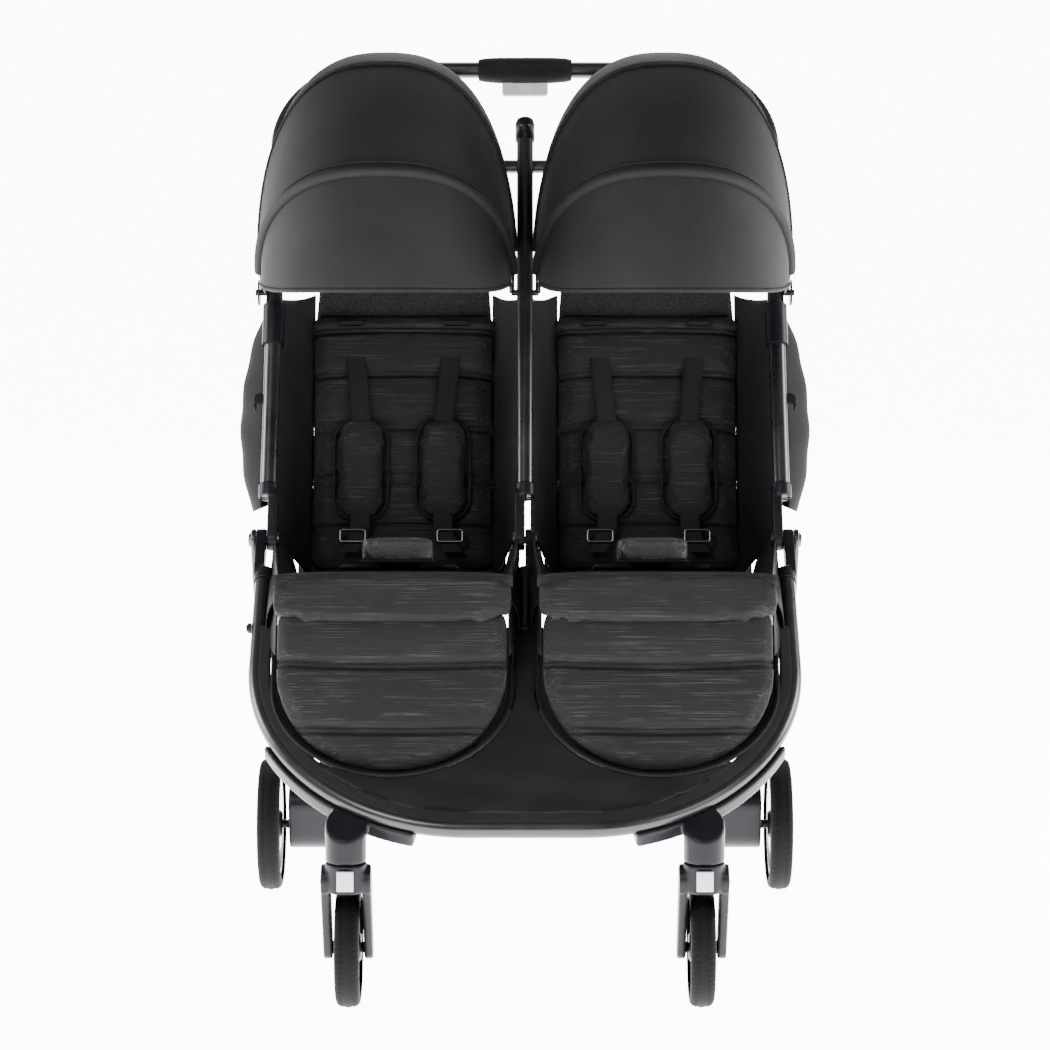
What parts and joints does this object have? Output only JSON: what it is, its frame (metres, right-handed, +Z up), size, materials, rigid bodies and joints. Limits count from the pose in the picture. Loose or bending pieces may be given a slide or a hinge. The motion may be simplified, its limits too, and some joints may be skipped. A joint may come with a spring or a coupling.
{
  "type": "double stroller",
  "caption": "Side-by-side double stroller with folding frame, two padded seats, two hoods, swivel casters and fixed rear wheels.",
  "frame": {"origin": "bottom centre of the whole stroller, on the floor between its wheels", "axes": "+Z up, -Y towards the front (the way the children face), +X to the right when seen from the front"},
  "size_m": [0.7546, 0.8251, 1.127],
  "materials": {
    "frame_tube": "satin black anodised",
    "pin_steel": "blackened steel",
    "moulding": "fine grained black moulding",
    "button": "light grey moulding",
    "grip": "soft black grip",
    "tyre": "matte black",
    "rim": "grey moulding",
    "hood_fabric": "plain charcoal weave",
    "visor_fabric": "plain charcoal weave",
    "pad_fabric": "ribbed charcoal fabric",
    "side_fabric": "plain black fabric",
    "webbing": "black webbing",
    "vinyl": "soft black vinyl"
  },
  "bodies": {
    "front_frame": {"front_side_tube_left": "frame_tube", "front_side_tube_right": "frame_tube", "front_bow_tube": "frame_tube", "front_centre_tube": "frame_tube", "corner_bracket_left": "moulding", "corner_bracket_right": "moulding", "lower_hinges": "moulding", "hinge_pins": "pin_steel", "latch_stud": "moulding", "seat_rails": "frame_tube", "seat_pad_left": "pad_fabric", "seat_pad_right": "pad_fabric", "crotch_pads": "vinyl", "waist_strap_left": "webbing", "waist_strap_right": "webbing", "apron": "side_fabric", "basket": "side_fabric"},
    "upper_frame": {"upper_side_tube_left": "frame_tube", "upper_side_tube_right": "frame_tube", "upper_centre_tube": "frame_tube", "upper_cross_tube": "frame_tube", "upper_hinges": "moulding", "handlebar": "frame_tube", "handle_grip": "grip", "hood_brackets": "moulding", "hood_rear_left": "hood_fabric", "hood_rear_right": "hood_fabric", "side_walls": "side_fabric", "back_meshes": "side_fabric"},
    "rear_legs": {"rear_leg_left": "frame_tube", "rear_leg_right": "frame_tube", "rear_axle": "pin_steel", "axle_housing_left": "moulding", "axle_housing_right": "moulding"},
    "brake_pedal": {"brake_pedal": "moulding"},
    "fold_trigger": {"fold_trigger": "button"},
    "backrest_left": {"backrest_left": "pad_fabric", "shoulder_straps_left": "webbing"},
    "calf_rest_left": {"calf_pad_left": "pad_fabric"},
    "caster_left": {"caster_fork_left": "moulding"},
    "caster_lock_left": {"caster_lock_left": "button"},
    "front_wheel_left": {"front_tyre_left": "tyre", "front_rim_left": "rim"},
    "rear_wheel_left": {"rear_tyre_left": "tyre", "rear_rim_left": "rim"},
    "hood_hub_left": {"hood_hub_left": "pin_steel"},
    "hood_left": {"hood_main_left": "hood_fabric"},
    "visor_left": {"visor_left": "visor_fabric"},
    "backrest_right": {"backrest_right": "pad_fabric", "shoulder_straps_right": "webbing"},
    "calf_rest_right": {"calf_pad_right": "pad_fabric"},
    "caster_right": {"caster_fork_right": "moulding"},
    "caster_lock_right": {"caster_lock_right": "button"},
    "front_wheel_right": {"front_tyre_right": "tyre", "front_rim_right": "rim"},
    "rear_wheel_right": {"rear_tyre_right": "tyre", "rear_rim_right": "rim"},
    "hood_hub_right": {"hood_hub_right": "pin_steel"},
    "hood_right": {"hood_main_right": "hood_fabric"},
    "visor_right": {"visor_right": "visor_fabric"}
  },
  "joints": [
    {"name": "frame_fold", "type": "hinge", "parent": "front_frame", "child": "upper_frame", "pos_m": [0, 0.00916, 0.511], "axis": [1, 0, 0], "range_deg": [0, 130], "deforming": ["side_walls", "apron", "basket"]},
    {"name": "rear_leg_fold", "type": "hinge", "parent": "front_frame", "child": "rear_legs", "pos_m": [0, 0.00916, 0.511], "axis": [1, 0, 0], "range_deg": [-62, 0], "deforming": ["basket", "apron"]},
    {"name": "brake_pedal", "type": "hinge", "parent": "rear_legs", "child": "brake_pedal", "pos_m": [0, 0.20516, 0.0885], "axis": [1, 0, 0], "range_deg": [-14, 0]},
    {"name": "fold_trigger", "type": "slide", "parent": "upper_frame", "child": "fold_trigger", "axis": [0, 0, 1], "range_m": [0, 0.003], "stiffness_N_per_m": 600, "springref_m": -0.004},
    {"name": "backrest_left", "type": "hinge", "parent": "upper_frame", "child": "backrest_left", "pos_m": [0, 0.13211, 0.43508], "axis": [1, 0, 0], "range_deg": [-35, 0]},
    {"name": "calf_rest_left", "type": "hinge", "parent": "front_frame", "child": "calf_rest_left", "pos_m": [0, -0.19395, 0.48735], "axis": [1, 0, 0], "range_deg": [-55, 0]},
    {"name": "caster_swivel_left", "type": "hinge", "parent": "front_frame", "child": "caster_left", "pos_m": [-0.2125, -0.38581, 0.192], "axis": [0, 0, 1], "continuous": true},
    {"name": "caster_lock_left", "type": "slide", "parent": "caster_left", "child": "caster_lock_left", "axis": [0, 0, 1], "range_m": [-0.004, 0]},
    {"name": "front_wheel_spin_left", "type": "hinge", "parent": "caster_left", "child": "front_wheel_left", "pos_m": [-0.2125, -0.33581, 0.0724], "axis": [1, 0, 0], "continuous": true},
    {"name": "rear_wheel_spin_left", "type": "hinge", "parent": "rear_legs", "child": "rear_wheel_left", "pos_m": [-0.342, 0.20516, 0.0885], "axis": [1, 0, 0], "continuous": true},
    {"name": "hood_hub_left", "type": "hinge", "parent": "upper_frame", "child": "hood_hub_left", "pos_m": [0, 0.20565, 0.80786], "axis": [1, 0, 0], "range_deg": [-33, 0]},
    {"name": "hood_left", "type": "hinge", "parent": "hood_hub_left", "child": "hood_left", "pos_m": [0, 0.20565, 0.80786], "axis": [1, 0, 0], "range_deg": [-33, 0], "deforming": ["hood_rear_left"]},
    {"name": "visor_left", "type": "hinge", "parent": "hood_left", "child": "visor_left", "pos_m": [0, 0.20565, 0.80786], "axis": [1, 0, 0], "range_deg": [-27, 0]},
    {"name": "backrest_right", "type": "hinge", "parent": "upper_frame", "child": "backrest_right", "pos_m": [0, 0.13211, 0.43508], "axis": [1, 0, 0], "range_deg": [-35, 0]},
    {"name": "calf_rest_right", "type": "hinge", "parent": "front_frame", "child": "calf_rest_right", "pos_m": [0, -0.19395, 0.48735], "axis": [1, 0, 0], "range_deg": [-55, 0]},
    {"name": "caster_swivel_right", "type": "hinge", "parent": "front_frame", "child": "caster_right", "pos_m": [0.2125, -0.38581, 0.192], "axis": [0, 0, 1], "continuous": true},
    {"name": "caster_lock_right", "type": "slide", "parent": "caster_right", "child": "caster_lock_right", "axis": [0, 0, 1], "range_m": [-0.004, 0]},
    {"name": "front_wheel_spin_right", "type": "hinge", "parent": "caster_right", "child": "front_wheel_right", "pos_m": [0.2125, -0.33581, 0.0724], "axis": [1, 0, 0], "continuous": true},
    {"name": "rear_wheel_spin_right", "type": "hinge", "parent": "rear_legs", "child": "rear_wheel_right", "pos_m": [0.342, 0.20516, 0.0885], "axis": [1, 0, 0], "continuous": true},
    {"name": "hood_hub_right", "type": "hinge", "parent": "upper_frame", "child": "hood_hub_right", "pos_m": [0, 0.20565, 0.80786], "axis": [1, 0, 0], "range_deg": [-33, 0]},
    {"name": "hood_right", "type": "hinge", "parent": "hood_hub_right", "child": "hood_right", "pos_m": [0, 0.20565, 0.80786], "axis": [1, 0, 0], "range_deg": [-33, 0], "deforming": ["hood_rear_right"]},
    {"name": "visor_right", "type": "hinge", "parent": "hood_right", "child": "visor_right", "pos_m": [0, 0.20565, 0.80786], "axis": [1, 0, 0], "range_deg": [-27, 0]}
  ],
  "couplings": [
    {"joint": "rear_leg_fold", "follows": "frame_fold", "ratio": -0.47692},
    {"joint": "hood_hub_left", "follows": "frame_fold", "ratio": -0.25385},
    {"joint": "visor_left", "follows": "frame_fold", "ratio": -0.20769},
    {"joint": "hood_hub_right", "follows": "frame_fold", "ratio": -0.25385},
    {"joint": "visor_right", "follows": "frame_fold", "ratio": -0.20769}
  ]
}
